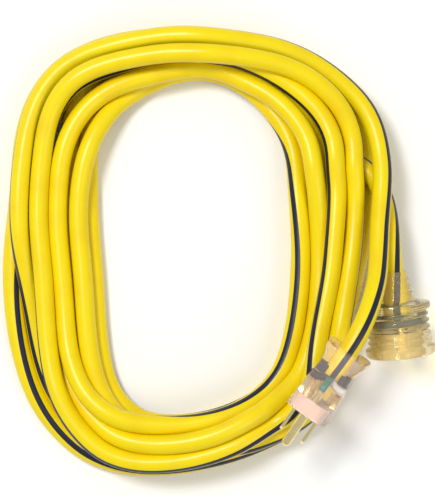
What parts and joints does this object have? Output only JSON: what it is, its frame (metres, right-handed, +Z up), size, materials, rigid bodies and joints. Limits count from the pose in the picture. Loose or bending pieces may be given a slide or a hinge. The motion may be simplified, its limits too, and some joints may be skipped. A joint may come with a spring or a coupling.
{
  "type": "extension cord",
  "caption": "Coiled round three-core extension cord with a clear moulded three-prong plug and a clear ribbed three-hole connector.",
  "frame": {"origin": "centre of the whole cord's box, on the surface it lies on", "axes": "+Z up from the surface; +Y along the long way of the oval coil; +X towards the connector"},
  "size_m": [0.2231, 0.2312, 0.0599],
  "materials": {
    "jacket": "semi-gloss yellow vinyl jacket with one navy stripe",
    "clear_plug_vinyl": "clear vinyl with a faint pink-beige tint",
    "clear_connector_vinyl": "clear vinyl with an amber tint",
    "plug_bridge_plastic": "pale moulded plastic",
    "insert_plastic": "beige moulded plastic",
    "brass": "bright brass",
    "copper": "bare stranded copper",
    "black_insulation": "black vinyl",
    "white_insulation": "white vinyl",
    "green_insulation": "green vinyl",
    "clip_black": "black plastic",
    "clip_blue_grey": "dark blue-grey plastic"
  },
  "bodies": {
    "root": {"cable_coil": "jacket", "cable_plug_lead": "jacket", "cable_connector_lead": "jacket", "plug_body": "clear_plug_vinyl", "plug_bridge": "plug_bridge_plastic", "plug_line_blade": "brass", "plug_neutral_blade": "brass", "plug_ground_pin": "brass", "plug_line_wire": "black_insulation", "plug_neutral_wire": "white_insulation", "plug_ground_wire": "green_insulation", "plug_strands": "copper", "plug_cord_clip": "clip_black", "plug_jacket_end": "jacket", "connector_body": "clear_connector_vinyl", "connector_face_insert": "insert_plastic", "connector_line_contact": "brass", "connector_neutral_contact": "brass", "connector_ground_contact": "brass", "connector_line_wire": "black_insulation", "connector_neutral_wire": "white_insulation", "connector_ground_wire": "green_insulation", "connector_strands": "copper", "connector_cord_clip": "clip_blue_grey", "connector_jacket_end": "jacket"}
  },
  "joints": []
}
